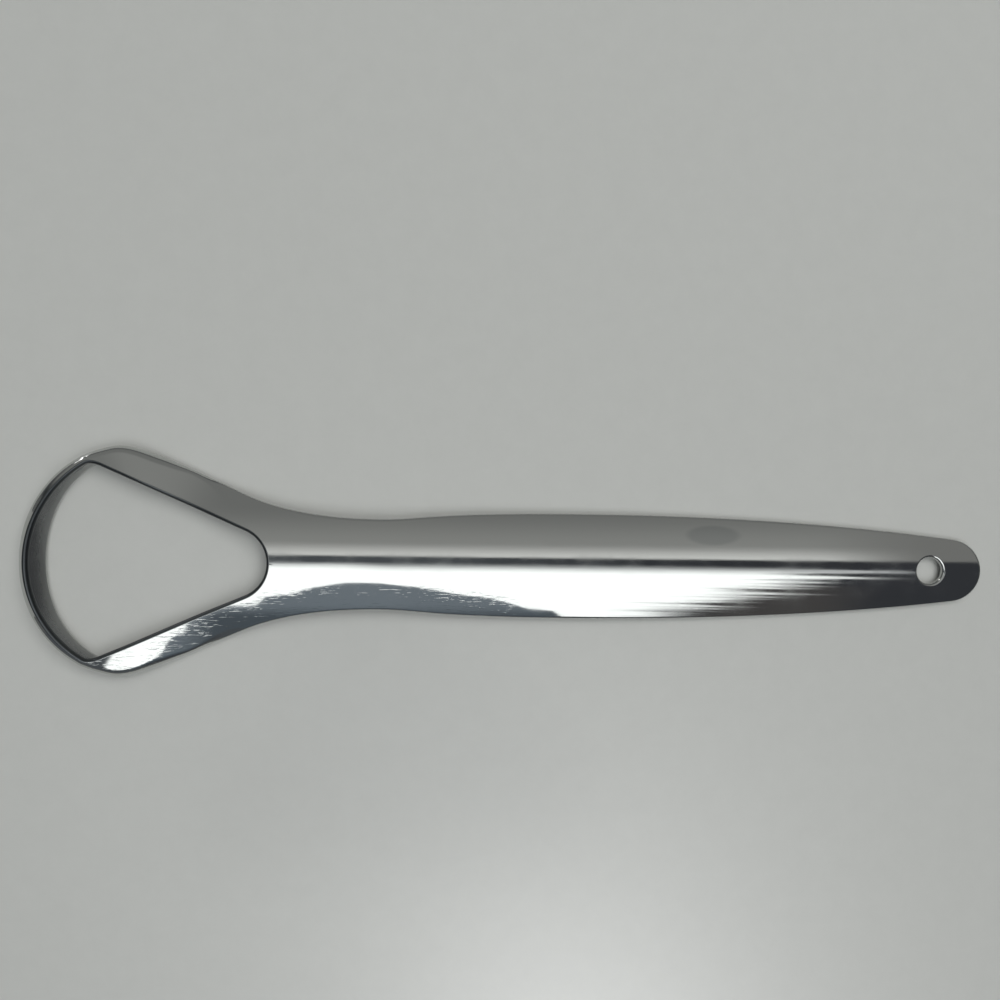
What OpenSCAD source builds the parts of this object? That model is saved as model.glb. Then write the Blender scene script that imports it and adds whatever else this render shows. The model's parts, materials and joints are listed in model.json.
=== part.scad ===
// Loop-headed tongue scraper pressed from one sheet of polished stainless steel.
// It lies on a table at z = 0, on the lower edge of its band and the edges of its grip near the tail.
// +X runs from the loop to the tail, +Y is to the right when the loop points away, +Z is up.
// The one pressing is drawn as four regions that meet face to face.

/* [Sheet] */
// Length over all, from the front of the band to the tail
length = 149.6; // [135:0.1:165]
// Thickness of the steel sheet
sheet_t = 1; // [0.8:0.05:1.2]
// How far the polished rim rounds out past its square edge
rim_bulge = 0.35; // [0.15:0.05:0.5]

/* [Loop] */
// Height of the band's top edge above the table
band_h = 4.6; // [4:0.1:5.4]
// Radius of the band's top edge
loop_r = 17.5; // [16.5:0.1:18.5]
// How far the band's lower edge is tucked in under the top edge at the front
front_tuck = 1.3; // [0.9:0.05:1.8]
// How far it is tucked in at the sides
side_tuck = 0.2; // [0:0.05:0.6]
// How far it stands out past the top edge at the shoulders
shoulder_flare = 0.4; // [0.2:0.05:0.8]
// Radius of the bend between the band's lip and its wall
bend_r = 1.3; // [1.15:0.05:1.6]
// Distance from the loop's centre to the end of the opening at the neck
crotch_reach = 17.05; // [16.5:0.05:18.5]
// Corner radius of the opening at the neck
crotch_r = 5.4; // [4.4:0.1:6.2]
// Width of each arm beside the loop's centre, seen from above
arm_w = 5.2; // [4.4:0.1:6]
// Rounding of the opening's corners at the shoulders
opening_blend = 1.6; // [1:0.1:2.4]
// Rounding of the loop's outside at the shoulders
shoulder_blend = 4; // [3:0.1:5]

/* [Handle] */
// Width at the neck
neck_w = 14.1; // [13:0.1:15]
// Distance from the loop's centre to the neck
neck_reach = 33.4; // [31:0.1:37]
// Width at the belly, the widest part of the grip
belly_w = 16.7; // [14.5:0.1:18]
// Distance from the tail to the belly
belly_setback = 62.6; // [50:0.1:68]
// Radius of the round tail
tail_r = 5.2; // [4.2:0.1:6]
// Radius of the arch across the handle
arch_r = 26; // [20:0.5:40]
// Radius of the flatter arch across the loop's shoulders
shoulder_arch_r = 90; // [60:1:140]

/* [Hanging hole] */
// Diameter of the hole
hole_d = 4.3; // [3.6:0.1:4.8]
// Distance from the tail to the hole's centre
hole_setback = 8.9; // [7.6:0.1:10]
// Width of the deburred edge on each side
hole_chamfer = 0.3; // [0.15:0.05:0.4]

/* [Hidden] */
$fn = 96;

// Angles that shape the pressing, in degrees. A place on the loop is told by its angle
// round the loop's centre from the front.
quarter_angle = 90;
arm_slant_angle = 23.8;
arm_taper_angle = 2;
tail_taper_angle = 7;
band_end_angle = 76;
arm_end_angle = 140;
lip_end_angle = 62;
plate_start_angle = 90;
tuck_end_angle = 90;
front_lip_angle = 40;
side_lip_angle = 78;
wall_angle = 40;
bend_fade_angle = 50;
station_step_angle = 2;

// Shares that shape the long curves of the grip's outline
neck_pull_share = 0.2;
belly_front_pull_share = 0.78;
belly_back_pull_share = 0.38;
tail_pull_share = 0.27;

// Counts of points
skin_steps = 12;
rim_steps = 4;
curve_steps = 24;

// Overrun of every cut
over = 5 * sheet_t;

steel = [0.78, 0.79, 0.8];

// Plain helpers
function part_way(a, b, share) = a + (b - a) * share;
function ease(u) = let (c = max(0, min(1, u))) c * c * (3 - 2 * c);
function soft_min(a, b, width) = let (h = max(0, width - abs(a - b)) / width)
    min(a, b) - h * h * width / 4;
function drop(y, r) = r - sqrt(r * r - y * y);
function mirrored(points) = [for (p = points) [p[0], -p[1]]];
function reversed(points) = [for (i = [len(points) - 1 : -1 : 0]) points[i]];

// Curves of an outline, each without its last point, where the next one starts
curve_shares = [for (i = [0 : curve_steps - 1]) i / curve_steps];
function pull(p0, p1, p2, p3) = [for (t = curve_shares) let (s = 1 - t)
    s * s * s * p0 + 3 * s * s * t * p1 + 3 * s * t * t * p2 + t * t * t * p3];
function bow(p0, p1, p2) = [for (t = curve_shares) let (s = 1 - t)
    s * s * p0 + 2 * s * t * p1 + t * t * p2];
function round_arc(x, r, from, to) = [for (t = curve_shares) let (a = part_way(from, to, t))
    [x + r * cos(a), r * sin(a)]];

// A strip's section runs between two points [outward, up] as a lip, a round bend and a wall.
// A lean is told from straight down: lean_0 at the first point, on the lip, lean_1 at the second, on the wall.
function lean_of(p, q) = atan2(q[0] - p[0], p[1] - q[1]);
function tangent(lean) = [sin(lean), -cos(lean)];
function normal(lean) = [cos(lean), sin(lean)];
function corner(p, q, lean_0, lean_1) =
    p + norm(q - p) * sin(lean_of(p, q) - lean_1) / sin(lean_0 - lean_1) * tangent(lean_0);
// Half a turn's length on a circle of radius 1 is PI, so a turn of so many degrees has this length
function turn_length(turn, r) = turn / 2 / quarter_angle * PI * r;
function bent(p, q, lean_0, lean_1, fade, share) = let (
    k = corner(p, q, lean_0, lean_1),
    turn = lean_0 - lean_1,
    room = min(norm(k - p), norm(q - k)),
    reach = min(room, part_way(bend_r * tan(turn / 2), room, fade)),
    r = reach / tan(turn / 2),
    lip = norm(k - p) - reach,
    bend = turn_length(turn, r),
    wall = norm(q - k) - reach,
    run = share * (lip + bend + wall),
    lean = lean_0 - turn * max(0, min(1, (run - lip) / bend)))
    [run < lip ? p + run * tangent(lean_0)
        : run < lip + bend ? p + lip * tangent(lean_0) + r * (normal(lean) - normal(lean_0))
        : q + (run - lip - bend - wall) * tangent(lean_1), lean];
// The rim is a half ellipse: sheet_t across, rim_bulge deep
function rim(p, lean, away, from) = let (middle = p - sheet_t / 2 * normal(lean))
    [for (i = [1 : rim_steps - 1]) let (a = 2 * quarter_angle * i / rim_steps)
        middle + from * sheet_t / 2 * cos(a) * normal(lean) + away * rim_bulge * sin(a) * tangent(lean)];
function strip(p, q, lean_0, lean_1, fade) = let (
    face = [for (i = [0 : skin_steps]) bent(p, q, lean_0, lean_1, fade, i / skin_steps)])
    concat(
        [for (f = face) f[0]],
        rim(q, lean_1, 1, 1),
        [for (i = [skin_steps : -1 : 0]) face[i][0] - sheet_t * normal(face[i][1])],
        rim(p, lean_0, -1, -1));

// The opening is a circle cut by two slanting lines that a corner arc joins at the neck
crotch_centre = crotch_reach - crotch_r;
apex_reach = crotch_centre + crotch_r / sin(arm_slant_angle);
chord_d = apex_reach * sin(arm_slant_angle);

// The arms' outer edges slant a little more, so each arm narrows to the neck
outer_slant_angle = arm_slant_angle + arm_taper_angle;
outer_d = chord_d + arm_w;

// Lift of the band's lower edge, so that its rounded rim touches the table
half_foot = sheet_t / 2 * sin(wall_angle);
foot_lift = norm([half_foot, rim_bulge * cos(wall_angle)]) - half_foot;

// The front section sets how far the band reaches ahead of the loop's centre
front_section = strip([loop_r, band_h], [loop_r - front_tuck, foot_lift],
    front_lip_angle, -wall_angle, 0);
front_reach = max([for (p = front_section) p[0]]);
ring_x = front_reach - length / 2;
tail_x = length / 2 - tail_r;
neck_x = ring_x + neck_reach;
belly_x = length / 2 - belly_setback;
hole_x = length / 2 - hole_setback;

// Half of the handle's outline seen from above: along the opening to its end, then back outside
function cut_point(r) = [ring_x - r * cos(arm_end_angle), r * sin(arm_end_angle)];
function crotch_side() = concat(
    [cut_point(slant_r(chord_d, arm_slant_angle, arm_end_angle))],
    round_arc(ring_x + crotch_centre, crotch_r, quarter_angle - arm_slant_angle, 0));
neck_edge = neck_w / 2;
belly_edge = belly_w / 2;
flare_x = ring_x + (outer_d - neck_edge * cos(outer_slant_angle)) / sin(outer_slant_angle);
belly_span = belly_x - neck_x;
tail_start = [tail_x + tail_r * sin(tail_taper_angle), tail_r * cos(tail_taper_angle)];
tail_span = tail_start[0] - belly_x;
function grip_side() = concat(
    bow(cut_point(low_r(arm_end_angle) + rim_bulge), [flare_x, neck_edge], [neck_x, neck_edge]),
    pull([neck_x, neck_edge],
        [neck_x + neck_pull_share * belly_span, neck_edge],
        [belly_x - belly_front_pull_share * belly_span, belly_edge],
        [belly_x, belly_edge]),
    pull([belly_x, belly_edge],
        [belly_x + belly_back_pull_share * tail_span, belly_edge],
        tail_start + tail_pull_share * tail_span * [-cos(tail_taper_angle), sin(tail_taper_angle)],
        tail_start),
    round_arc(tail_x, tail_r, quarter_angle - tail_taper_angle, 0));

// The crest line falls from the band's top edge until an edge of the grip touches the table
crest_front_x = ring_x - loop_r;
function under_drop(y) = arch_r - sqrt(pow(arch_r - sheet_t, 2) - y * y);
crest_fall = min([for (p = grip_side()) (band_h - under_drop(p[1])) / (p[0] - crest_front_x)]);
crest_pitch = atan(crest_fall);
function crest(x) = band_h - crest_fall * (x - crest_front_x);

// The pressing's top surface out along a ray from the loop's centre, and its lean there
function arch_at(a) = 1 / part_way(1 / shoulder_arch_r, 1 / arch_r,
    ease((a - band_end_angle) / (arm_end_angle - band_end_angle)));
function surface_z(r, a) = crest(ring_x - r * cos(a)) - drop(r * sin(a), arch_at(a));
function surface_lean(r, a) = let (y = r * sin(a), arch = arch_at(a))
    atan2(1, sin(a) * y / sqrt(arch * arch - y * y) - crest_fall * cos(a));

// Edges and leans of the loop's strip at each place round the loop
function past_lip(a, to) = ease((a - lip_end_angle) / (to - lip_end_angle));
function slant_r(d, slant, a) = d / max(sin(a - slant), 1 / curve_steps);
function top_r(a) = a < arm_slant_angle ? loop_r
    : soft_min(loop_r, slant_r(chord_d + rim_bulge, arm_slant_angle, a), opening_blend);
function low_r(a) = let (circle = loop_r - part_way(front_tuck, side_tuck, ease(a / lip_end_angle))
        + (side_tuck + shoulder_flare) * past_lip(a, tuck_end_angle))
    a < arm_slant_angle ? circle
    : soft_min(circle, slant_r(outer_d - rim_bulge, outer_slant_angle, a), shoulder_blend);
function low_z(r, a) = part_way(foot_lift, surface_z(r, a), past_lip(a, arm_end_angle));
function top_lean(r, a) = part_way(part_way(front_lip_angle, side_lip_angle, ease(a / lip_end_angle)),
    surface_lean(r, a), past_lip(a, plate_start_angle));
function low_lean(r, a) = part_way(-wall_angle, surface_lean(r, a), past_lip(a, arm_end_angle));
function bend_fade(a) = 1 - ease((arm_end_angle - a) / bend_fade_angle);
function station(a) = let (
    b = abs(a),
    side = a < 0 ? -1 : 1,
    r0 = top_r(b),
    r1 = low_r(b),
    outline = strip([r0, surface_z(r0, b)], [r1, low_z(r1, b)],
        top_lean(r0, b), low_lean(r1, b), bend_fade(b)))
    [for (p = outline) [ring_x - p[0] * cos(b), side * p[0] * sin(b), p[1]]];

// A closed solid through a row of like rings, each a loop of as many points
module skin(rings) {
    n = len(rings[0]);
    last = len(rings) - 1;
    sides = [for (i = [0 : last - 1]) for (j = [0 : n - 1]) let (k = (j + 1) % n)
        each [[i * n + j, i * n + k, (i + 1) * n + k], [i * n + j, (i + 1) * n + k, (i + 1) * n + j]]];
    polyhedron(
        points = [for (ring = rings) each ring],
        faces = concat(sides, [[for (j = [n - 1 : -1 : 0]) j]], [[for (j = [0 : n - 1]) last * n + j]]),
        convexity = 6);
}

module arm() {
    steps = ceil((arm_end_angle - band_end_angle) / station_step_angle);
    skin([for (i = [0 : steps]) station(part_way(band_end_angle, arm_end_angle, i / steps))]);
}

module left_arm() {
    color(steel) mirror([0, 1, 0]) arm();
}

module right_arm() {
    color(steel) arm();
}

module scraping_band() {
    steps = ceil(2 * band_end_angle / station_step_angle);
    color(steel)
        skin([for (i = [0 : steps]) station(part_way(-band_end_angle, band_end_angle, i / steps))]);
}

module handle_outline() {
    polygon(concat(
        grip_side(),
        [[tail_x + tail_r, 0]],
        reversed(mirrored(grip_side())),
        mirrored(crotch_side()),
        [[ring_x + crotch_reach, 0]],
        reversed(crotch_side())));
}

// Carries what is drawn along a level crest line to the sloping one
module on_crest() {
    translate([0, 0, crest(0)]) rotate([0, crest_pitch, 0]) children();
}

module arched_sheet() {
    translate([-length, 0, -arch_r]) rotate([0, quarter_angle, 0]) difference() {
        cylinder(h = 2 * length, r = arch_r);
        translate([0, 0, -over]) cylinder(h = 2 * length + 2 * over, r = arch_r - sheet_t);
    }
}

module hanging_hole() {
    reach = hole_x / cos(crest_pitch);
    translate([reach, 0, -sheet_t - over]) cylinder(h = sheet_t + 2 * over, d = hole_d);
    translate([reach, 0, -hole_chamfer]) cylinder(h = over, d1 = hole_d, d2 = hole_d + 2 * over);
    translate([reach, 0, hole_chamfer - sheet_t]) mirror([0, 0, 1])
        cylinder(h = over, d1 = hole_d, d2 = hole_d + 2 * over);
}

module handle() {
    color(steel) difference() {
        intersection() {
            on_crest() arched_sheet();
            translate([0, 0, -over]) linear_extrude(height = band_h + 2 * over) handle_outline();
        }
        on_crest() hanging_hole();
    }
}

handle();
left_arm();
right_arm();
scraping_band();
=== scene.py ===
"""A loop-headed tongue scraper, one pressing of mirror-polished stainless steel, on a pale table.

Every length is in metres in the part's own frame: the scraper lies on z = 0, its loop to -X, its tail to +X.
"""

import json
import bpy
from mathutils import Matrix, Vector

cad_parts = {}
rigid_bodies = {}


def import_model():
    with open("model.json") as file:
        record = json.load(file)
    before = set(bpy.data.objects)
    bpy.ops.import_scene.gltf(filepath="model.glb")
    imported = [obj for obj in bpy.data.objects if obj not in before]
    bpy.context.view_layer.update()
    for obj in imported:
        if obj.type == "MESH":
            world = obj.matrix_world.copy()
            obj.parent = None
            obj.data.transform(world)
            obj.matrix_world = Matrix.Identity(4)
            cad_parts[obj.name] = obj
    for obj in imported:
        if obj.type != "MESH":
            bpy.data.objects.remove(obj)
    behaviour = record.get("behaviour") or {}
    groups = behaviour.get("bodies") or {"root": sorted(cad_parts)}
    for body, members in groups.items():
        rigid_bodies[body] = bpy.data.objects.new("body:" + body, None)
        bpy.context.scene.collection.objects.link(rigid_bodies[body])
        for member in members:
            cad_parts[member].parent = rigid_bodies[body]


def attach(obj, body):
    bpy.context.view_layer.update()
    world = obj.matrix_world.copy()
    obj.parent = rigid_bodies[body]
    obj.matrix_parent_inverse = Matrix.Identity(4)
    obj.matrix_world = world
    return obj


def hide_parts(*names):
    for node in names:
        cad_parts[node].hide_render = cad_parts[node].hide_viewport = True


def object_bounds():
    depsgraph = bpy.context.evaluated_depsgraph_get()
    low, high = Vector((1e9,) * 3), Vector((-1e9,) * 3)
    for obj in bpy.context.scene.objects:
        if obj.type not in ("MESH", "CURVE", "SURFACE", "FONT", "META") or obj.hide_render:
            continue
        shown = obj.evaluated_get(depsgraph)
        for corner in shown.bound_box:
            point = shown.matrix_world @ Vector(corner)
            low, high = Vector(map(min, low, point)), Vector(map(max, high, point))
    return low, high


bl_info = {
    "name": "Steel tongue scraper",
    "version": (1, 0, 0),
    "blender": (4, 5, 0),
    "location": "View3D > Sidebar > Scraper",
    "description": "Presses a loop-headed steel tongue scraper and lays it on a pale table",
    "category": "Add Mesh",
}

import bpy
import numpy as np
from bpy.props import FloatProperty, FloatVectorProperty, PointerProperty
from mathutils import Vector

for spare in list(bpy.data.objects):
    bpy.data.objects.remove(spare)
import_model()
CAD_BOX = [list(map(float, corner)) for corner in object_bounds()]

# Stations along the pressing: the band, an arm, the opening's end, the grip and the hole with the tail
BAND_STEPS, ARM_STEPS, CROTCH_STEPS, GRIP_STEPS, HOLE_STEPS = 110, 80, 30, 150, 48
# Points across the sheet and round its rim
ACROSS_STEPS, RIM_STEPS = 44, 8
# Points of each run of the grip's outline, and of the round of the opening's end before it is spaced out
SIDE_STEPS, ROUND_STEPS = 200, 60
# Points of the section at the loop's front, the furthest of which sets where the loop's centre lies
FRONT_STEPS = 400
# A point less than this far from the middle plane lies on it
ON_PLANE = 1e-9
# How late the band's inside turns dull on the way to its foot, as the power of its share
UNBUFFED_POWER = 2.5
# How the arm's join to the grip is averaged: passes, rows on each side, and the spread of their weight
MELD_PASSES, MELD_ROWS, MELD_SPREAD = 30, 14, 6.0

# Slants in degrees from the tool's length: the opening's side, how far the arm tapers, and the tail's side
ARM_SLANT, ARM_TAPER, TAIL_TAPER = 23.8, 2.0, 7.0
# Angles in degrees round the loop's centre, from the front, at which the section changes
LIP_END, BAND_END, PLATE_START, TUCK_END, UPRIGHT_START = 62.0, 76.0, 90.0, 90.0, 95.0
ASIDE_START, UPRIGHT_END, ARM_END = 105.0, 110.0, 140.0
# Leans in degrees from straight down: the lip at the front and at the sides, the wall, and the upright wall
FRONT_LIP, SIDE_LIP, WALL, UPRIGHT = 40.0, 78.0, 40.0, 4.0
# Degrees over which the bend opens out before the arm's end
BEND_FADE = 80.0
# Half the side of the square table in metres
TABLE_HALF = 3.0
# Shares of a span that pull the outline's long curves
NECK_PULL, BELLY_FRONT_PULL, BELLY_BACK_PULL, TAIL_PULL = 0.2, 0.78, 0.38, 0.27


def linear(hex_colour):
    """An sRGB hex colour as linear red, green and blue: each channel goes through the sRGB curve."""
    value = hex_colour.lstrip("#")
    shares = [int(value[i : i + 2], 16) / 255 for i in (0, 2, 4)]
    return [c / 12.92 if c <= 0.04045 else ((c + 0.055) / 1.055) ** 2.4 for c in shares]


# ---------------------------------------------------------------- sizes and colours


class ScraperSizes(bpy.types.PropertyGroup):
    """The sizes of the pressing"""

    length: FloatProperty(
        name="Length", description="From the front of the band to the tail",
        default=CAD_BOX[1][0] - CAD_BOX[0][0], unit="LENGTH")
    sheet: FloatProperty(name="Sheet", description="Thickness of the steel", default=0.001, unit="LENGTH")
    rim: FloatProperty(
        name="Rim", description="How far the polished rim rounds out", default=0.00035, unit="LENGTH")
    band_height: FloatProperty(
        name="Band height", description="Top edge of the band above the table", default=0.0046, unit="LENGTH")
    loop_radius: FloatProperty(
        name="Loop radius", description="Radius of the band's top edge", default=0.0175, unit="LENGTH")
    front_tuck: FloatProperty(
        name="Front tuck", description="How far the lower edge is tucked in at the front",
        default=0.0013, unit="LENGTH")
    side_tuck: FloatProperty(
        name="Side tuck", description="How far it is tucked in at the sides", default=0.0002, unit="LENGTH")
    shoulder_flare: FloatProperty(
        name="Shoulder flare", description="How far it stands out at the shoulders",
        default=0.0004, unit="LENGTH")
    bend_radius: FloatProperty(
        name="Bend", description="Radius of the bend between the band's lip and its wall",
        default=0.0013, unit="LENGTH")
    crotch_reach: FloatProperty(
        name="Opening's end", description="From the loop's centre to the end of the opening",
        default=0.01705, unit="LENGTH")
    crotch_radius: FloatProperty(
        name="Opening's corner", description="Corner radius of the opening at the neck",
        default=0.0054, unit="LENGTH")
    arm_width: FloatProperty(
        name="Arm width", description="Width of an arm beside the loop's centre", default=0.0052, unit="LENGTH")
    opening_blend: FloatProperty(
        name="Opening blend", description="Rounding of the opening's corners at the shoulders",
        default=0.0016, unit="LENGTH")
    shoulder_blend: FloatProperty(
        name="Shoulder blend", description="Rounding of the loop's outside at the shoulders",
        default=0.004, unit="LENGTH")
    neck_width: FloatProperty(name="Neck width", description="Width at the neck", default=0.0141, unit="LENGTH")
    neck_reach: FloatProperty(
        name="Neck reach", description="From the loop's centre to the neck", default=0.0334, unit="LENGTH")
    belly_width: FloatProperty(
        name="Belly width", description="Widest part of the grip", default=0.0167, unit="LENGTH")
    belly_setback: FloatProperty(
        name="Belly setback", description="From the tail to the belly", default=0.0626, unit="LENGTH")
    tail_radius: FloatProperty(
        name="Tail radius", description="Round end of the tail", default=0.0052, unit="LENGTH")
    arch_radius: FloatProperty(
        name="Arch radius", description="Arch across the grip", default=0.026, unit="LENGTH")
    shoulder_arch: FloatProperty(
        name="Shoulder arch", description="Flatter arch across the loop's shoulders",
        default=0.09, unit="LENGTH")
    hole_diameter: FloatProperty(
        name="Hole", description="Diameter of the hanging hole", default=0.0043, unit="LENGTH")
    hole_setback: FloatProperty(
        name="Hole setback", description="From the tail to the hole's centre", default=0.0089, unit="LENGTH")


class ScraperStage(bpy.types.PropertyGroup):
    """The colours, the light and the camera"""

    steel: FloatVectorProperty(
        name="Steel", description="What the polished steel sends back", subtype="COLOR",
        default=linear("#cbccca"), min=0, max=1)
    table: FloatVectorProperty(
        name="Table", description="Colour of the table", subtype="COLOR",
        default=linear("#cfd0cc"), min=0, max=1)
    roughness: FloatProperty(
        name="Roughness", description="Roughness of the polish", default=0.055, min=0, max=1, subtype="FACTOR")
    camera_place: FloatVectorProperty(
        name="Camera place", description="Where the camera stands", subtype="TRANSLATION",
        default=(-0.020646, 0.015161, 0.154993), unit="LENGTH")
    camera_turn: FloatVectorProperty(
        name="Camera turn", description="How the camera is turned", subtype="EULER",
        default=[float(np.radians(a)) for a in (-2.0, -6.0, 1.304)])
    window_light: FloatProperty(
        name="Window light", description="Power of the broad light overhead in watts",
        default=6.0, unit="POWER")
    ceiling_lamp: FloatProperty(
        name="Ceiling lamp", description="Power of the lamp whose soft glare lies on the table, in watts",
        default=5.6, unit="POWER")


# ---------------------------------------------------------------- curves and surfaces


def part_way(a, b, share):
    """From a to b in a straight line, by share."""
    return a + (b - a) * share


def ease(u):
    """A smooth step from 0 to 1: three times u squared less twice u cubed, with u held between 0 and 1."""
    c = np.clip(u, 0, 1)
    return c * c * (3 - 2 * c)


def soft_min(a, b, width):
    """The lesser of a and b, less a parabola that rounds the corner where they differ by less than width."""
    h = np.maximum(0, width - abs(a - b)) / width
    return np.minimum(a, b) - h * h * width / 4


def drop(y, radius):
    """How far a circle of that radius has fallen at y from its top."""
    return radius - np.sqrt(radius * radius - y * y)


def sin(degrees):
    return np.sin(np.radians(degrees))


def cos(degrees):
    return np.cos(np.radians(degrees))


def lean_of(p, q):
    """The lean in degrees from straight down of the line from p to q, points being outward and up."""
    return np.degrees(np.arctan2(q[..., 0] - p[..., 0], p[..., 1] - q[..., 1]))


def tangent(lean):
    return np.stack([sin(lean), -cos(lean)], -1)


def normal(lean):
    return np.stack([cos(lean), sin(lean)], -1)


def bent(p, q, lean_0, lean_1, radius, fade, steps):
    """Evenly spaced points of a strip from p to q: a straight lip, a round bend and a straight wall.

    The lip leaves p at lean_0 and the wall comes to q at lean_1. They would meet in a corner k. The bend takes
    away its radius times the tangent of half the turn from both, and where fade is 1 all of the shorter one.
    A point at a run along the strip lies on the lip, the bend or the wall.
    """
    turn = lean_0 - lean_1
    far = np.linalg.norm(q - p, axis=-1) * sin(lean_of(p, q) - lean_1) / sin(turn)
    k = p + far[:, None] * tangent(lean_0)
    to_k, from_k = np.linalg.norm(k - p, axis=-1), np.linalg.norm(q - k, axis=-1)
    room = np.minimum(to_k, from_k)
    half = np.tan(np.radians(turn / 2))
    reach = np.minimum(room, part_way(radius * half, room, fade))
    r = reach / half
    lip, bend, wall = to_k - reach, np.radians(turn) * r, from_k - reach
    run = (lip + bend + wall)[:, None] * np.linspace(0, 1, steps)
    lip, bend, wall, r, turn = (v[:, None] for v in (lip, bend, wall, r, turn))
    lean_0, lean_1, p, q = lean_0[:, None], lean_1[:, None], p[:, None], q[:, None]
    lean = lean_0 - turn * np.clip((run - lip) / bend, 0, 1)
    on_lip = p + np.minimum(run, lip)[..., None] * tangent(lean_0)
    on_bend = on_lip + r[..., None] * (normal(lean) - normal(lean_0))
    on_wall = q + (run - lip - bend - wall)[..., None] * tangent(lean_1)
    return np.where((run < lip + bend)[..., None], on_bend, on_wall)


def cubic(points, steps):
    """A cubic curve through four pulling points, weighed by the Bernstein shares of t."""
    t = np.linspace(0, 1, steps)[:, None]
    s = 1 - t
    p = np.asarray(points, float)
    return s**3 * p[0] + 3 * s * s * t * p[1] + 3 * s * t * t * p[2] + t**3 * p[3]


def bow(points, steps):
    """A parabola through three pulling points."""
    t = np.linspace(0, 1, steps)[:, None]
    s = 1 - t
    p = np.asarray(points, float)
    return s * s * p[0] + 2 * s * t * p[1] + t * t * p[2]


def arc(x, radius, start, end, steps):
    """Points of a circle centred at x on the middle line, from one angle to another."""
    a = np.linspace(start, end, steps)
    return np.stack([x + radius * cos(a), radius * sin(a)], -1)


def shares_along(points):
    """The share of a row of points' length at which each point lies."""
    run = np.concatenate([[0], np.cumsum(np.linalg.norm(np.diff(points, axis=0), axis=1))])
    return run / run[-1]


def along(points, shares):
    """Points of a row at given shares of its length."""
    own = shares_along(points)
    return np.stack([np.interp(shares, own, points[:, i]) for i in range(points.shape[1])], -1)


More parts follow.
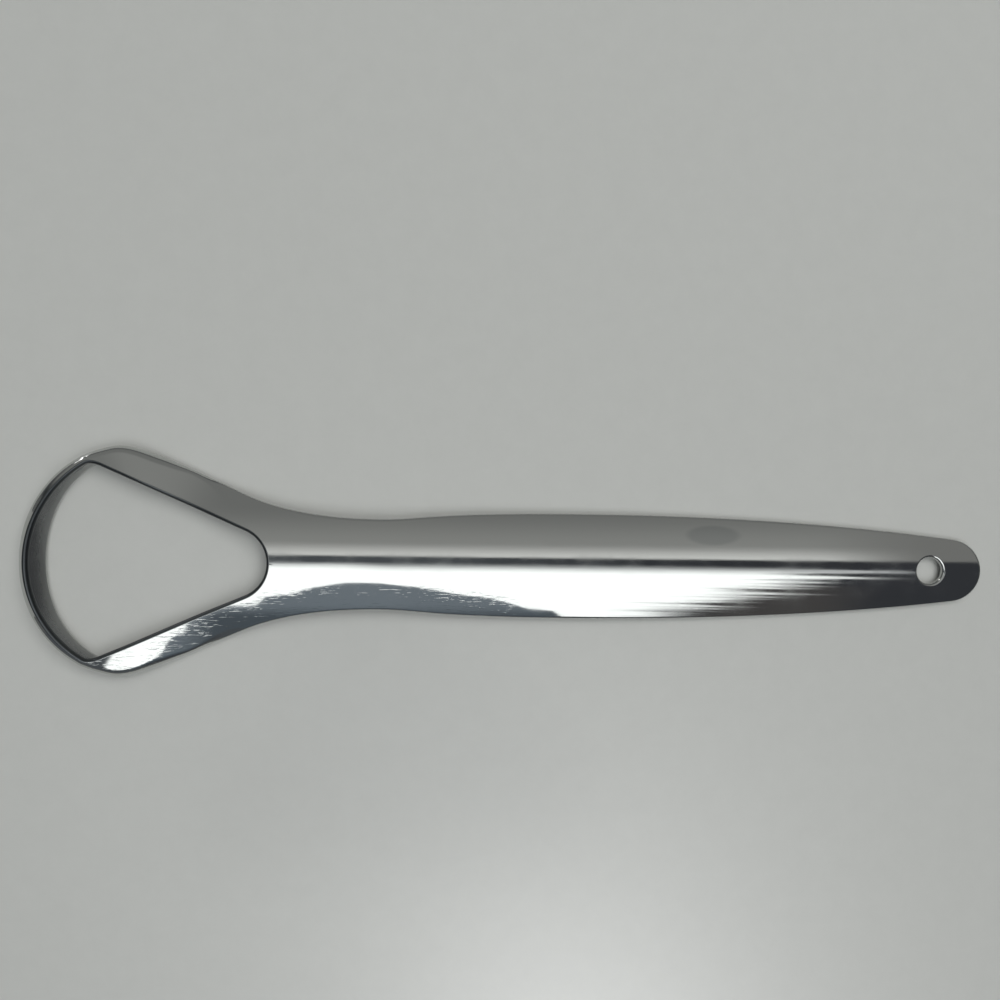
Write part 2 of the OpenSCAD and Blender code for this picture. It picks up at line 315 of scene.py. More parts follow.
class Pressing:
    """Places and curves that follow from the sizes, by the same rules as the part's source."""

    def __init__(self, s):
        self.s = s
        half_foot = s.sheet / 2 * sin(WALL)
        self.foot_lift = np.hypot(half_foot, s.rim * cos(WALL)) - half_foot
        self.crotch_centre = s.crotch_reach - s.crotch_radius
        apex_reach = self.crotch_centre + s.crotch_radius / sin(ARM_SLANT)
        self.inner_d = apex_reach * sin(ARM_SLANT)
        self.outer_slant = ARM_SLANT + ARM_TAPER
        self.outer_d = self.inner_d + s.arm_width
        front = bent(
            np.array([[s.loop_radius, s.band_height]]),
            np.array([[s.loop_radius - s.front_tuck, self.foot_lift]]),
            np.array([FRONT_LIP]), np.array([-WALL]), s.bend_radius, 0, FRONT_STEPS)
        self.ring_x = front[..., 0].max() - s.length / 2
        self.tail_x = s.length / 2 - s.tail_radius
        self.hole_x = s.length / 2 - s.hole_setback
        self.crest_front_x = self.ring_x - s.loop_radius
        side = self.grip_side()
        under = s.arch_radius - np.sqrt((s.arch_radius - s.sheet) ** 2 - side[:, 1] ** 2)
        self.crest_fall = ((s.band_height - under) / (side[:, 0] - self.crest_front_x)).min()

    def crest(self, x):
        """The crest line falls steadily from the band's top edge to the tail."""
        return self.s.band_height - self.crest_fall * (x - self.crest_front_x)

    def grip_side(self):
        """The grip's outline from the arm to the tail: a bow into the neck, two cubics and a round end."""
        s, steps = self.s, SIDE_STEPS
        neck_x, neck = self.ring_x + s.neck_reach, s.neck_width / 2
        belly_x, belly = s.length / 2 - s.belly_setback, s.belly_width / 2
        flare_x = self.ring_x + (self.outer_d - neck * cos(self.outer_slant)) / sin(self.outer_slant)
        start_r = self.slanted(self.outer_d, self.outer_slant, ARM_END)
        start = [self.ring_x - start_r * cos(ARM_END), start_r * sin(ARM_END)]
        tail = np.array([self.tail_x + s.tail_radius * sin(TAIL_TAPER), s.tail_radius * cos(TAIL_TAPER)])
        span, tail_span = belly_x - neck_x, tail[0] - belly_x
        return np.concatenate([
            bow([start, [flare_x, neck], [neck_x, neck]], steps)[:-1],
            cubic([[neck_x, neck], [neck_x + NECK_PULL * span, neck],
                   [belly_x - BELLY_FRONT_PULL * span, belly], [belly_x, belly]], steps)[:-1],
            cubic([[belly_x, belly], [belly_x + BELLY_BACK_PULL * tail_span, belly],
                   tail + TAIL_PULL * tail_span * np.array([-cos(TAIL_TAPER), sin(TAIL_TAPER)]), tail],
                  steps)[:-1],
            arc(self.tail_x, s.tail_radius, 90 - TAIL_TAPER, 0, steps)])

    def grip_edge(self):
        """The grip's outline drawn in by the rim's depth, square to its own run."""
        side = self.grip_side()
        run = np.gradient(side, axis=0)
        run /= np.linalg.norm(run, axis=1)[:, None]
        edge = side + self.s.rim * np.stack([run[:, 1], -run[:, 0]], -1)
        edge[-1] = [side[-1, 0] - self.s.rim, 0]
        return edge

    def arch(self, a):
        """The arch's radius round the loop: its inverse eases from the shoulders' to the grip's."""
        s = self.s
        bend = ease((a - BAND_END) / (ARM_END - BAND_END))
        return 1 / part_way(1 / s.shoulder_arch, 1 / s.arch_radius, bend)

    def surface_z(self, r, a):
        return self.crest(self.ring_x - r * cos(a)) - drop(r * sin(a), self.arch(a))

    def surface_lean(self, r, a):
        """The lean of the top surface along a ray from the loop's centre."""
        y = r * sin(a)
        slope = sin(a) * y / np.sqrt(self.arch(a) ** 2 - y * y) - self.crest_fall * cos(a)
        return np.degrees(np.arctan2(1, slope))

    def slanted(self, distance, slant, a):
        """Radius at which a ray meets the slanting line that passes the loop's centre at that distance.

        The radius is held at 24 distances where the ray runs almost along the line.
        """
        return distance / np.maximum(sin(a - slant), 1 / 24)

    def top_r(self, a):
        s = self.s
        line = self.slanted(self.inner_d + s.rim, ARM_SLANT, a)
        return np.where(a < ARM_SLANT, s.loop_radius, soft_min(s.loop_radius, line, s.opening_blend))

    def low_r(self, a):
        s = self.s
        circle = (s.loop_radius - part_way(s.front_tuck, s.side_tuck, ease(a / LIP_END))
                  + (s.side_tuck + s.shoulder_flare) * ease((a - LIP_END) / (TUCK_END - LIP_END)))
        line = self.slanted(self.outer_d - s.rim, self.outer_slant, a)
        # Past the shoulder the circle steps aside, so that the slanting line runs clean into the grip
        circle = circle + s.shoulder_blend * ease((a - ASIDE_START) / (ARM_END - ASIDE_START))
        return np.where(a < ARM_SLANT, circle, soft_min(circle, line, s.shoulder_blend))

    def loop_strip(self, a, steps):
        """The loop's top face: at each angle a lip, a bend and a wall from the top edge to the lower edge.

        The lip's lean and the wall's lean both ease into the slope of the arched sheet towards the neck. The
        wall stands upright beside the shoulder, gets lower along the arm and only then turns out.
        """
        fade = ease((a - LIP_END) / (ARM_END - LIP_END))
        r0, r1 = self.top_r(a), self.low_r(a)
        p = np.stack([r0, self.surface_z(r0, a)], -1)
        q = np.stack([r1, part_way(self.foot_lift, self.surface_z(r1, a), fade)], -1)
        lip = part_way(
            part_way(FRONT_LIP, SIDE_LIP, ease(a / LIP_END)),
            self.surface_lean(r0, a), ease((a - LIP_END) / (PLATE_START - LIP_END)))
        wall = part_way(
            part_way(-WALL, UPRIGHT, ease((a - LIP_END) / (UPRIGHT_START - LIP_END))),
            self.surface_lean(r1, a), ease((a - UPRIGHT_END) / (ARM_END - UPRIGHT_END)))
        rz = bent(p, q, lip, wall, self.s.bend_radius, 1 - ease((ARM_END - a) / BEND_FADE), steps)
        return np.stack([
            self.ring_x - rz[..., 0] * cos(a)[:, None],
            rz[..., 0] * sin(a)[:, None],
            rz[..., 1]], -1)

    def grip_plan(self):
        """Inner and outer points, seen from above, of the grip's stations.

        The inner points run round the opening's end, down the middle line, round the hole and on to the tail.
        The outer points run along the grip's edge, and each run of them fills the same share of it.
        """
        s = self.s
        edge = self.grip_edge()
        own = shares_along(edge)
        hole_r = s.hole_diameter / 2 + s.rim
        r0 = self.top_r(np.array([ARM_END]))[0]
        opening = np.concatenate([
            [[self.ring_x - r0 * cos(ARM_END), r0 * sin(ARM_END)]],
            arc(self.ring_x + self.crotch_centre, s.crotch_radius + s.rim, 90 - ARM_SLANT, 0, ROUND_STEPS)])
        opening = along(opening, np.linspace(0, 1, CROTCH_STEPS + 1))[1:]
        opening[-1, 1] = 0
        middle_x = part_way(opening[-1, 0], self.hole_x - hole_r, np.linspace(0, 1, GRIP_STEPS + 1))[1:]
        middle = np.stack([middle_x, np.zeros(GRIP_STEPS)], -1)
        hole = arc(self.hole_x, hole_r, 180, 0, HOLE_STEPS + 1)[1:]
        hole[-1, 1] = 0
        at_neck = np.interp(opening[-1, 0] + s.crotch_radius, edge[:, 0], own)
        before_end = slice(len(edge) - SIDE_STEPS)
        at_hole = np.interp(self.hole_x - hole_r, edge[before_end, 0], own[before_end])
        first = np.interp(edge[0, 0], edge[:, 0], own)
        outer = along(edge, np.concatenate([
            np.linspace(first, at_neck, CROTCH_STEPS + 1)[1:],
            np.linspace(at_neck, at_hole, GRIP_STEPS + 1)[1:],
            np.linspace(at_hole, 1, HOLE_STEPS + 1)[1:]]))
        return np.concatenate([opening, middle, hole]), outer

    def grip_strip(self, steps):
        """The grip's top face: straight stations seen from above, laid on the arch under the sloping crest."""
        inner, outer = self.grip_plan()
        v = np.linspace(0, 1, steps)[:, None]
        plan = inner[:, None, :] + (outer - inner)[:, None, :] * v
        z = self.crest(plan[..., 0]) - drop(plan[..., 1], self.s.arch_radius)
        return np.concatenate([plan, z[..., None]], -1)


def unit(v):
    return v / np.maximum(np.linalg.norm(v, axis=-1, keepdims=True), 1e-12)


def grid_normals(top):
    """Upward unit normals of a grid: the cross product of its two central differences."""
    along_u = np.gradient(top, axis=0, edge_order=2)
    along_v = np.gradient(top, axis=1, edge_order=2)
    n = np.cross(along_u, along_v)
    n[np.linalg.norm(n, axis=-1) < 1e-14] = [0, 0, 1]
    n = unit(n)
    return n * np.where(n[..., 2:] < 0, -1, 1) if n[..., 2].mean() < 0 else n


def rim_row(top, n, run, away, sheet, depth):
    """Points of a rounded rim beside an edge: half an ellipse, the sheet's thickness across and depth deep.

    At angle t the point is the middle of the sheet plus half the sheet times cos t along the normal,
    plus the depth times sin t square to the edge and away from the face.
    """
    t = np.pi * np.arange(1, RIM_STEPS)[None, :, None] / RIM_STEPS
    out = unit(np.cross(run, n)) * away
    middle = top - n * sheet / 2
    return middle[:, None] + np.cos(t) * sheet / 2 * n[:, None] + np.sin(t) * depth * out[:, None]


def quads(index):
    """The faces between neighbouring rows and columns of a grid of point numbers."""
    return np.stack([index[:-1, :-1], index[:-1, 1:], index[1:, 1:], index[1:, :-1]], -1).reshape(-1, 4)


def pressing_shell(s):
    """The whole pressing as one closed shell.

    Half of it is a grid of stations from the loop's front to the tail. The underside is the top face moved
    by the sheet's thickness along its normals, rims close the edges, and the other half mirrors it in y.
    """
    form = Pressing(s)
    loop_a = np.concatenate([
        np.linspace(0, BAND_END, BAND_STEPS + 1), np.linspace(BAND_END, ARM_END, ARM_STEPS + 1)[1:]])
    top = np.concatenate([form.loop_strip(loop_a, ACROSS_STEPS), form.grip_strip(ACROSS_STEPS)])
    # Where the arm runs into the grip, a few passes of averaging along the pressing ease the join
    join = len(loop_a) - 1
    near = np.arange(join - MELD_ROWS, join + MELD_ROWS + 1)
    weight = np.exp(-((near - join) / MELD_SPREAD) ** 2)[:, None, None]
    for _ in range(MELD_PASSES):
        middle = (top[near - 1] + 2 * top[near] + top[near + 1]) / 4
        top[near] = part_way(top[near], middle, weight)
    top[0, :, 1] = 0
    n = grid_normals(top)
    on_axis = top[..., 1] < ON_PLANE
    n[..., 1] = np.where(on_axis, 0, n[..., 1])
    n = unit(n)
    low = top - n * s.sheet
    low[..., 1] = np.where(on_axis, 0, low[..., 1])

    last = len(top) - 1
    crotch_end = join + CROTCH_STEPS
    hole_start = crotch_end + GRIP_STEPS
    run_0 = np.gradient(top[:, 0], axis=0)
    run_1 = np.gradient(top[:, -1], axis=0)
    run_0[crotch_end] = [0, -1, 0]
    run_0[hole_start] = [0, 1, 0]
    run_0[last] = [0, -1, 0]
    run_1[0] = [0, 1, 0]
    run_1[last] = [0, -1, 0]
    inner = rim_row(top[:, 0], n[:, 0], run_0, 1, s.sheet, s.rim)
    outer = rim_row(top[:, -1], n[:, -1], run_1, -1, s.sheet, s.rim)
    inner[on_axis[:, 0], :, 1] = 0
    outer[on_axis[:, -1], :, 1] = 0

    rows, across = top.shape[:2]
    count = rows * across
    top_i = np.arange(count).reshape(rows, across)
    low_i = top_i + count
    outer_i = 2 * count + np.arange(rows * (RIM_STEPS - 1)).reshape(rows, -1)
    inner_i = outer_i + outer_i.size
    points = np.concatenate([grid.reshape(-1, 3) for grid in (top, low, outer, inner)])
    outer_wall = np.concatenate([top_i[:, -1:], outer_i, low_i[:, -1:]], 1)
    inner_wall = np.concatenate([top_i[:, :1], inner_i, low_i[:, :1]], 1)
    # What each point tells the material: how rough its shear-cut edge is, where that edge is painted dark as a
    # painted dark reflection, and how far the inside is left unbuffed
    finish_and_painted_rim = np.zeros((len(points), 2))
    # The opening's rim, from the loop's front to the opening's end, is rougher and gets the painted dark line
    finish_and_painted_rim[inner_wall[: crotch_end + 1], 0] = 1
    inside = 1 - ease((loop_a - LIP_END) / (TUCK_END - LIP_END))
    finish_and_painted_rim[low_i[: len(loop_a)], 1] = inside[:, None] * np.linspace(0, 1, across) ** UNBUFFED_POWER
    faces = np.concatenate([
        quads(top_i)[:, ::-1], quads(low_i), quads(outer_wall)[:, ::-1],
        quads(inner_wall[: crotch_end + 1]), quads(inner_wall[hole_start:])])
    return points, faces, finish_and_painted_rim


def mirrored(points, faces, value):
    """Both halves of a shell whose half is given: points on the middle plane are shared by their number.

    The values that each point carries go with it.
    """
    shared = abs(points[:, 1]) < ON_PLANE
    number = np.where(shared, np.arange(len(points)), len(points) + np.cumsum(~shared) - 1)
    other = points[~shared] * [1, -1, 1]
    value = np.concatenate([value, value[~shared]])
    points, faces = np.concatenate([points, other]), np.concatenate([faces, number[faces][:, ::-1]])
    used = np.unique(faces)
    renumber = np.zeros(len(points), int)
    renumber[used] = np.arange(len(used))
    return points[used], renumber[faces], value[used]


def new_piece(name, points, faces, material):
    """A smooth-shaded mesh object at the origin, filled by foreach_set."""
    mesh = bpy.data.meshes.new(name)
    mesh.vertices.add(len(points))
    mesh.vertices.foreach_set("co", points.astype(np.float32).ravel())
    mesh.loops.add(faces.size)
    mesh.loops.foreach_set("vertex_index", faces.astype(np.int32).ravel())
    mesh.polygons.add(len(faces))
    mesh.polygons.foreach_set("loop_start", np.arange(0, faces.size, 4, dtype=np.int32))
    mesh.polygons.foreach_set("use_smooth", np.ones(len(faces), bool))
    mesh.update(calc_edges=True)
    if mesh.validate():
        raise RuntimeError(f"{name}: the mesh had faults")
    mesh.materials.append(material)
    piece = bpy.data.objects.new(name, mesh)
    bpy.context.scene.collection.objects.link(piece)
    return piece


# ---------------------------------------------------------------- materials


def add(tree, kind, links=None, **settings):
    """Adds a node, sets what is named, fills its inputs with values and links others' outputs to them."""
    made = tree.nodes.new(kind)
    for key, value in settings.items():
        setattr(made, key, value)
    for key, value in (links or {}).items():
        if isinstance(value, bpy.types.NodeSocket):
            tree.links.new(value, made.inputs[key])
        else:
            made.inputs[key].default_value = value
    return made


def lay(tree, under, over, share):
    """One colour laid over another by a share."""
    return add(tree, "ShaderNodeMix", {0: share, 6: under, 7: over}, data_type="RGBA").outputs[2]


def beyond(tree, way, a, b, start, end, c=0):
    """How far a place or direction has crossed a line: 0 where a x + b y + c z is start, 1 where it is end."""
    far = add(tree, "ShaderNodeVectorMath", {0: way, 1: (a, b, c)}, operation="DOT_PRODUCT").outputs["Value"]
    return add(tree, "ShaderNodeMapRange", {
        "Value": far, "From Min": start, "From Max": end}, interpolation_type="SMOOTHSTEP").outputs[0]


def product(tree, *shares):
    """The product of several shares."""
    total = shares[0]
    for share in shares[1:]:
        total = add(tree, "ShaderNodeMath", {0: total, 1: share}, operation="MULTIPLY").outputs[0]
    return total


def new_tree(owner):
    owner.use_nodes = True
    owner.node_tree.nodes.clear()
    return owner.node_tree


def handling_wear(tree, place):
    """Short crossing scratches on the near flank of arm and neck, where the scraper is held and rinsed.

    Each is 2.2 mm long and drawn 0.25 mm wide, coarser than the real ones, so that it shows.
    """
    worn = product(
        tree, beyond(tree, place, 0.35, -1, -0.0135, -0.009), beyond(tree, place, 0, -1, 0.0025, 0.0045),
        beyond(tree, place, 1, 0, 0.003, -0.006))
    cuts = []
    for turn in (0.5, -0.7, 1.9):
        lines = add(tree, "ShaderNodeMapping", {
            "Vector": place, "Rotation": (0, 0, turn), "Scale": (1 / 0.0022, 1 / 0.00025, 1 / 0.004)})
        cuts.append(add(tree, "ShaderNodeTexNoise", {
            "Vector": lines.outputs[0], "Scale": 1.0, "Detail": 2.0}).outputs["Fac"])
    cut = add(tree, "ShaderNodeMath", {0: cuts[0], 1: cuts[1]}, operation="MAXIMUM").outputs[0]
    cut = add(tree, "ShaderNodeMath", {0: cut, 1: cuts[2]}, operation="MAXIMUM").outputs[0]
    cut = add(tree, "ShaderNodeMapRange", {"Value": cut, "From Min": 0.62, "From Max": 0.76}).outputs[0]
    return product(tree, cut, worn)


def water_mark(tree, place):
    """A dried water mark on the far side of the grip, an ellipse 9 mm by 3 mm."""
    x, y, half_length, half_width = 0.0295, 0.0052, 0.0046, 0.0016
    mark = add(tree, "ShaderNodeMapping", {
        "Vector": place, "Location": (-x / half_length, -y / half_width, 0),
        "Scale": (1 / half_length, 1 / half_width, 0)})
    mark = add(tree, "ShaderNodeVectorMath", {0: mark.outputs[0]}, operation="LENGTH").outputs["Value"]
    return add(tree, "ShaderNodeMapRange", {
        "Value": mark, "From Min": 0.75, "From Max": 1.1, "To Min": 1.0, "To Max": 0.0},
        interpolation_type="SMOOTHSTEP").outputs[0]


def polished_stainless(look):
    """Stainless steel sheet, pressed and then buffed on a wheel: a mirror that is a little soft."""
    material = bpy.data.materials.new("mirror_buffed_stainless_steel")
    tree = new_tree(material)
    place = add(tree, "ShaderNodeTexCoord").outputs["Object"]
    # The wheel's scratches run along the tool, 6 mm long, and are drawn 0.6 mm wide so that they show
    drawn = add(tree, "ShaderNodeMapping", {"Vector": place, "Scale": (1 / 0.006, 1 / 0.0006, 1 / 0.0006)})
    scratch = add(tree, "ShaderNodeTexNoise", {
        "Vector": drawn.outputs[0], "Scale": 1.0, "Detail": 5.0, "Roughness": 0.6})
    # Pressing and buffing leave a faint waviness, 25 mm by 6 mm, which bends reflections a little
    swell = add(tree, "ShaderNodeMapping", {"Vector": place, "Scale": (1 / 0.025, 1 / 0.006, 1 / 0.006)})
    wave = add(tree, "ShaderNodeTexNoise", {"Vector": swell.outputs[0], "Scale": 1.0, "Detail": 1.0})
    # Handling leaves patches of haze about 5 mm across
    haze = add(tree, "ShaderNodeTexNoise", {
        "Vector": place, "Scale": 1 / 0.005, "Detail": 3.0, "Roughness": 0.65})
    cut = handling_wear(tree, place)
    waved = add(tree, "ShaderNodeBump", {"Height": wave.outputs["Fac"], "Strength": 0.014, "Distance": 0.0004})
    lined = add(tree, "ShaderNodeBump", {
        "Height": scratch.outputs["Fac"], "Strength": 0.04, "Distance": 0.00004, "Normal": waved.outputs[0]})
    lined = add(tree, "ShaderNodeBump", {
        "Height": cut, "Strength": 0.2, "Distance": 0.00003, "Normal": lined.outputs[0]})
    # The opening's edge was shear-cut and only deburred, so it is duller than the buffed faces, and it is also
    # painted darker, a painted dark reflection along the rim.
    # The wheel doesn't reach down the inside of the band either, which gets duller towards its foot.
    sheared_and_painted_dark = add(tree, "ShaderNodeAttribute", attribute_name="sheared_and_painted_dark").outputs["Fac"]
    unbuffed = add(tree, "ShaderNodeAttribute", attribute_name="unbuffed").outputs["Fac"]
    colour = lay(tree, (*look.steel, 1), (*linear("#babcbb"), 1), water_mark(tree, place))
    # Painted dark reflection: the opening's rim is painted dark grey
    colour = lay(tree, colour, (*linear("#55585a"), 1), sheared_and_painted_dark)
    rough = add(tree, "ShaderNodeMapRange", {
        "Value": haze.outputs["Fac"], "From Min": 0.35, "From Max": 0.75,
        "To Min": look.roughness * 0.7, "To Max": look.roughness * 2.0}).outputs[0]
    for share, more in ((sheared_and_painted_dark, 0.25), (unbuffed, 0.35), (cut, 0.05)):
        rough = add(tree, "ShaderNodeMath", {0: share, 1: more, 2: rough}, operation="MULTIPLY_ADD").outputs[0]
    shader = add(tree, "ShaderNodeBsdfPrincipled", {
        "Base Color": colour, "Metallic": 1.0, "Roughness": rough, "Normal": lined.outputs[0]})
    add(tree, "ShaderNodeOutputMaterial", {"Surface": shader.outputs[0]})
    return material


def pale_table(look):
    """A painted table top, sprayed satin: a soft glare and hardly any grain."""
    material = bpy.data.materials.new("sprayed_satin_paint")
    tree = new_tree(material)
    place = add(tree, "ShaderNodeTexCoord").outputs["Object"]
    # The paint's mottle is about 4 mm across and hardly shows
    mottle = add(tree, "ShaderNodeTexNoise", {
        "Vector": place, "Scale": 1 / 0.004, "Detail": 5.0, "Roughness": 0.7})
    tone = add(tree, "ShaderNodeMapRange", {
        "Value": mottle.outputs["Fac"], "From Min": 0.3, "From Max": 0.7, "To Min": 0.985, "To Max": 1.015})
    colour = add(tree, "ShaderNodeVectorMath", {0: tuple(look.table), 1: tone.outputs[0]}, operation="MULTIPLY")
    # Spray leaves grains about half a millimetre across
    grain = add(tree, "ShaderNodeTexNoise", {"Vector": place, "Scale": 1 / 0.0005, "Detail": 2.0})
    bump = add(tree, "ShaderNodeBump", {"Height": grain.outputs["Fac"], "Strength": 0.15, "Distance": 0.00003})
    shader = add(tree, "ShaderNodeBsdfPrincipled", {
        "Base Color": colour.outputs[0], "Roughness": 0.4, "Normal": bump.outputs[0]})
    add(tree, "ShaderNodeOutputMaterial", {"Surface": shader.outputs[0]})
    return material


# ---------------------------------------------------------------- stage


def studio_room():
    """What the steel mirrors: a pale ceiling towards +Y, a dark room towards -Y and a lamp screen before it.

    Each part of the room is bounded by straight lines in the plane of a direction's x and y, and each edge
    is softened between the two values at which its line starts and ends.
    """
    world = bpy.data.worlds.new("studio_room")
    tree = new_tree(world)
    way = add(tree, "ShaderNodeTexCoord").outputs["Generated"]
    # The unlit side of the room, darkest on the right, with a brown cupboard beside the lamp screen and a
    # paler corner far out on the left
    colour = lay(tree, (0.09, 0.10, 0.11, 1), (0.045, 0.048, 0.055, 1), beyond(tree, way, 1, 0, 0.0, 0.35))
    colour = lay(tree, colour, (0.08, 0.077, 0.077, 1), product(
        tree, beyond(tree, way, 1, 0, 0.3, 0.36), beyond(tree, way, 1, 0, 0.49, 0.43),
        beyond(tree, way, 0, 1, -0.24, -0.31)))
    colour = lay(tree, colour, (0.19, 0.2, 0.21, 1), product(
        tree, beyond(tree, way, 0, 1, -0.78, -0.88), beyond(tree, way, 1, 0, -0.38, -0.48)))
    # The pale blue floor of the next room, under the lamp screen
    colour = lay(tree, colour, (0.3, 0.34, 0.38, 1), product(
        tree, beyond(tree, way, 1, 0, -0.17, -0.11), beyond(tree, way, 1, 0, 0.3, 0.2),
        beyond(tree, way, 0, 1, -0.78, -0.62), beyond(tree, way, 0, 1, -0.2, -0.4)))
    # The lamp screen brightens slowly from its top edge. Its right edge is torn into streaks about a
    # tenth as wide as they are long, and a leaf of it hangs on the left.
    streaks = add(tree, "ShaderNodeMapping", {"Vector": way, "Scale": (3.0, 34.0, 0.0)}).outputs[0]
    streaks = add(tree, "ShaderNodeTexNoise", {"Vector": streaks, "Scale": 1.0, "Detail": 3.0}).outputs["Fac"]
    push = add(tree, "ShaderNodeMapRange", {
        "Value": streaks, "From Min": 0.3, "From Max": 0.7, "To Min": -0.06, "To Max": 0.06}).outputs[0]
    push = add(tree, "ShaderNodeCombineXYZ", {0: push}).outputs[0]
    torn = add(tree, "ShaderNodeVectorMath", {0: way, 1: push}, operation="ADD").outputs[0]
    lit, top_edge, left_edge = (1.75, 1.8, 1.8, 1), (0, 1, -0.05, -0.19), (1, 0, -0.33, -0.27)
    colour = lay(tree, colour, lit, product(
        tree, beyond(tree, way, *top_edge), beyond(tree, way, 0.76, 1, -0.565, -0.535),
        beyond(tree, torn, 1, -0.29, 0.52, 0.45), beyond(tree, way, *left_edge)))
    colour = lay(tree, colour, lit, product(
        tree, beyond(tree, way, *top_edge), beyond(tree, way, 0, 1, -0.6, -0.57),
        beyond(tree, way, 1, 0, 0.04, -0.01), beyond(tree, way, *left_edge)))
    # A thin strip light beside the screen
    strip = product(
        tree, beyond(tree, way, 0, 1, -0.085, -0.1), beyond(tree, way, 0, 1, -0.13, -0.115),
        beyond(tree, way, 1, 0, 0.4, 0.44), beyond(tree, way, 1, 0, 0.53, 0.49))
    colour = lay(tree, colour, (0.7, 0.72, 0.74, 1), strip)
    # The ceiling dims fast and then slowly towards its far wall, has one tone over the tail and is almost
    # dark past the loop's front
    ceiling = lay(tree, (0.85, 0.86, 0.84, 1), (0.34, 0.345, 0.335, 1), beyond(tree, way, 0, 1, 0.01, 0.2))
    ceiling = lay(tree, ceiling, (0.215, 0.22, 0.215, 1), beyond(tree, way, 0, 1, 0.15, 0.6))
    ceiling = lay(tree, ceiling, (0.24, 0.242, 0.236, 1), beyond(tree, way, 1, 0, 0.42, 0.53))
    ceiling = lay(tree, ceiling, (0.04, 0.044, 0.046, 1), beyond(tree, way, 1, 0, -0.6, -0.8))
    colour = lay(tree, colour, ceiling, beyond(tree, way, 0, 1, 0.0, 0.035))
    # The wall past the tail is darker towards -Y
    wall = lay(tree, (0.045, 0.05, 0.052, 1), (0.25, 0.255, 0.25, 1), beyond(tree, way, 0, 1, -0.45, 0.95))
    colour = lay(tree, colour, wall, beyond(tree, way, 1, 0, 0.6, 0.75))
    # A pale skirting all round, low down, and darker past the tail
    skirting = lay(tree, (0.13, 0.135, 0.135, 1), (0.06, 0.062, 0.065, 1), beyond(tree, way, 1, 0, 0.85, 0.95))
    colour = lay(tree, colour, skirting, beyond(tree, way, 0, 0, 0.34, 0.22, 1))
    # A small window low down on the loop's side
    window = product(
        tree, beyond(tree, way, 1, 0, -0.66, -0.63), beyond(tree, way, 1, 0, -0.52, -0.55),
        beyond(tree, way, 0, 1, 0.7, 0.73))
    colour = lay(tree, colour, (3.0, 3.0, 3.0, 1), window)
    # The camera itself sees a plain pale backdrop
    seen = add(tree, "ShaderNodeLightPath").outputs["Is Camera Ray"]
    colour = lay(tree, colour, (*linear("#b6bab6"), 1), seen)
    room = add(tree, "ShaderNodeBackground", {"Color": colour, "Strength": 1.0})
    add(tree, "ShaderNodeOutputWorld", {"Surface": room.outputs[0]})
    bpy.context.scene.world = world


def soft_light(name, place, width, depth, power):
    """A rectangular light at a place, facing the middle of the scraper and unseen by the camera."""
    lamp = bpy.data.lights.new(name, "AREA")
    lamp.shape, lamp.size, lamp.size_y = "RECTANGLE", width, depth
    lamp.energy = power
    light = bpy.data.objects.new(name, lamp)
    bpy.context.scene.collection.objects.link(light)
    light.location = place
    light.rotation_euler = (-Vector(place)).to_track_quat("-Z", "Y").to_euler()
    light.visible_camera = False
    return light


def grey_card():
    """A dim blue-grey card, 40 mm over the neck, there only for the steel to mirror.

    It is a row of uprights seen from above: x along the tool, an uneven upper edge and a straight lower one.
    Its light fades towards the lower edge.
    """
    x = np.array([-55, -50, -46, -43, -39, -34, -28, -22, -14, -6, 0, 4, 8, 14, 17]) / 1000
    top = np.array([-43, -36.5, -35.5, -25.5, -24, -18.5, -15, -15, -18, -23, -26, -30, -35, -38, -46]) / 1000
    height, bottom = np.full(len(x), 0.04), np.full(len(x), -0.062)
    points = np.stack([np.stack([x, top, height], -1), np.stack([x, bottom, height], -1)])
    material = bpy.data.materials.new("backlit_grey_card")
    tree = new_tree(material)
    place = add(tree, "ShaderNodeTexCoord").outputs["Object"]
    tone = lay(tree, (0.2, 0.235, 0.27, 1), (0.09, 0.11, 0.13, 1), beyond(tree, place, 0, 1, -0.031, -0.046))
    glow = add(tree, "ShaderNodeEmission", {"Color": tone, "Strength": 1.0})
    add(tree, "ShaderNodeOutputMaterial", {"Surface": glow.outputs[0]})
    card = new_piece("grey_card", points.reshape(-1, 3), quads(np.arange(2 * len(x)).reshape(2, -1)), material)
    card.visible_camera = card.visible_diffuse = card.visible_shadow = False


# ---------------------------------------------------------------- operators


class SCRAPER_OT_press(bpy.types.Operator):
    """Press the scraper: its grip, arms and scraping band are one sheet without a seam"""

    bl_idname = "scraper.press"
    bl_label = "Press the scraper"

    def execute(self, context):
        steel = polished_stainless(context.scene.scraper_stage)
        points, faces, finish_and_painted_rim = mirrored(*pressing_shell(context.scene.scraper_sizes))
        piece = new_piece("steel_pressing", points, faces, steel)
        # The first attribute marks the rougher rim that is also painted dark, the second the unbuffed inside
        for column, name in enumerate(("sheared_and_painted_dark", "unbuffed")):
            values = np.ascontiguousarray(finish_and_painted_rim[:, column], np.float32)
            piece.data.attributes.new(name, "FLOAT", "POINT").data.foreach_set("value", values)
        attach(piece, "root")
        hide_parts("handle", "left_arm", "right_arm", "scraping_band")
        return {"FINISHED"}


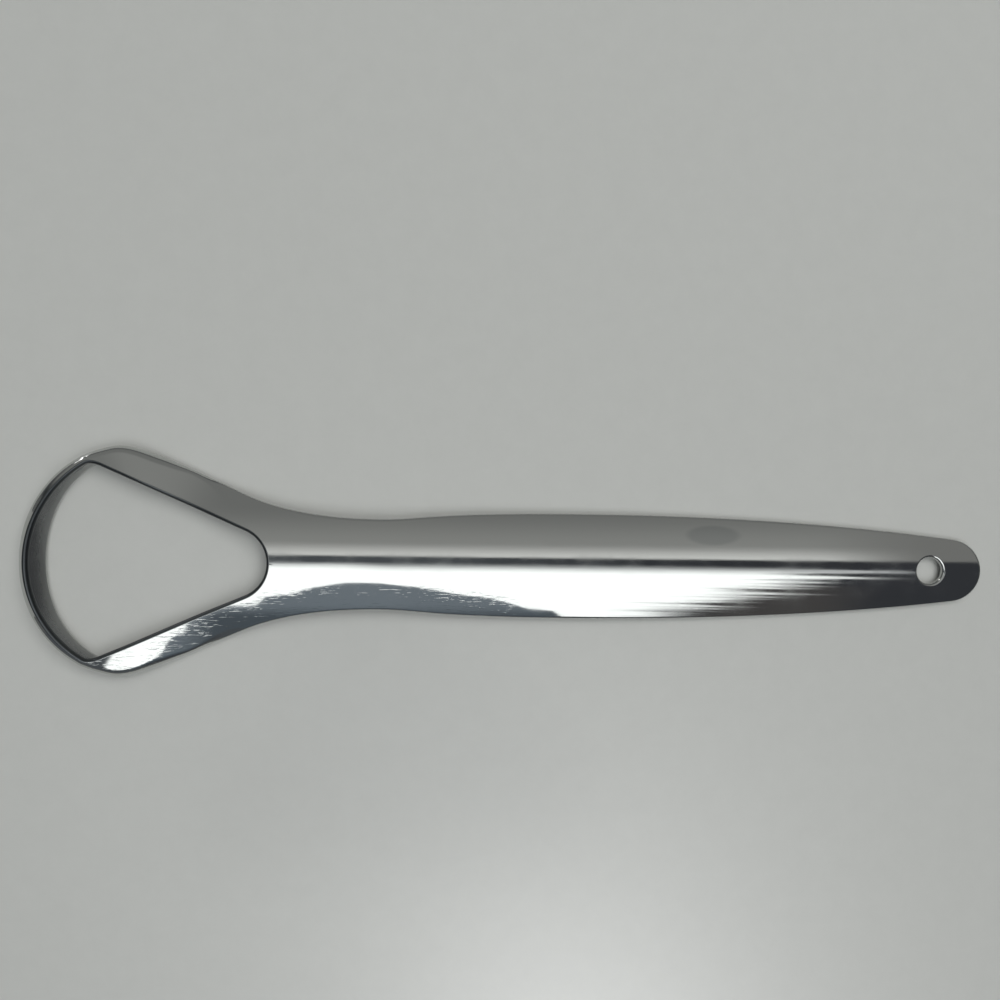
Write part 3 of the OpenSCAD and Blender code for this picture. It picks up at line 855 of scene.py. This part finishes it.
class SCRAPER_OT_stage(bpy.types.Operator):
    """Lay the table, hang the lights and set up the camera"""

    bl_idname = "scraper.stage"
    bl_label = "Set the stage"

    def execute(self, context):
        look = context.scene.scraper_stage
        corners = TABLE_HALF * np.array([[-1, -1, 0], [1, -1, 0], [1, 1, 0], [-1, 1, 0]])
        table = new_piece("table", corners, np.array([[0, 1, 2, 3]]), pale_table(look))
        studio_room()
        grey_card()
        window = soft_light("window_light", (0.3, 0.55, 1.1), 1.0, 0.8, look.window_light)
        window.visible_glossy = False
        # The lamp only lays its glare on the table: the steel mirrors the lamp screen instead
        lamp = soft_light("ceiling_lamp", (0.17, -0.6, 0.79), 0.2, 0.16, look.ceiling_lamp)
        lamp.visible_diffuse = False
        table_only = bpy.data.collections.new("table_only")
        table_only.objects.link(table)
        lamp.light_linking.receiver_collection = table_only
        camera = bpy.data.cameras.new("photo_camera")
        camera.lens, camera.sensor_width, camera.clip_start = 36, 36, 0.01
        view = bpy.data.objects.new("photo_camera", camera)
        view.location = look.camera_place
        view.rotation_euler = look.camera_turn
        context.scene.collection.objects.link(view)
        context.scene.camera = view
        context.scene.view_settings.view_transform = "Standard"
        return {"FINISHED"}


class SCRAPER_PT_panel(bpy.types.Panel):
    """The scraper's sizes, its colours and its two steps"""

    bl_idname = "SCRAPER_PT_panel"
    bl_label = "Tongue scraper"
    bl_space_type = "VIEW_3D"
    bl_region_type = "UI"
    bl_category = "Scraper"

    def draw(self, context):
        for group, step in (("scraper_sizes", SCRAPER_OT_press), ("scraper_stage", SCRAPER_OT_stage)):
            values = getattr(context.scene, group)
            for key in type(values).__annotations__:
                self.layout.prop(values, key)
            self.layout.operator(step.bl_idname)


CLASSES = (ScraperSizes, ScraperStage, SCRAPER_OT_press, SCRAPER_OT_stage, SCRAPER_PT_panel)


def register():
    for item in CLASSES:
        bpy.utils.register_class(item)
    bpy.types.Scene.scraper_sizes = PointerProperty(type=ScraperSizes)
    bpy.types.Scene.scraper_stage = PointerProperty(type=ScraperStage)


def unregister():
    del bpy.types.Scene.scraper_stage
    del bpy.types.Scene.scraper_sizes
    for item in reversed(CLASSES):
        bpy.utils.unregister_class(item)


def main():
    register()
    bpy.ops.scraper.press()
    bpy.ops.scraper.stage()
    bpy.context.view_layer.update()


if __name__ == "__main__":
    main()
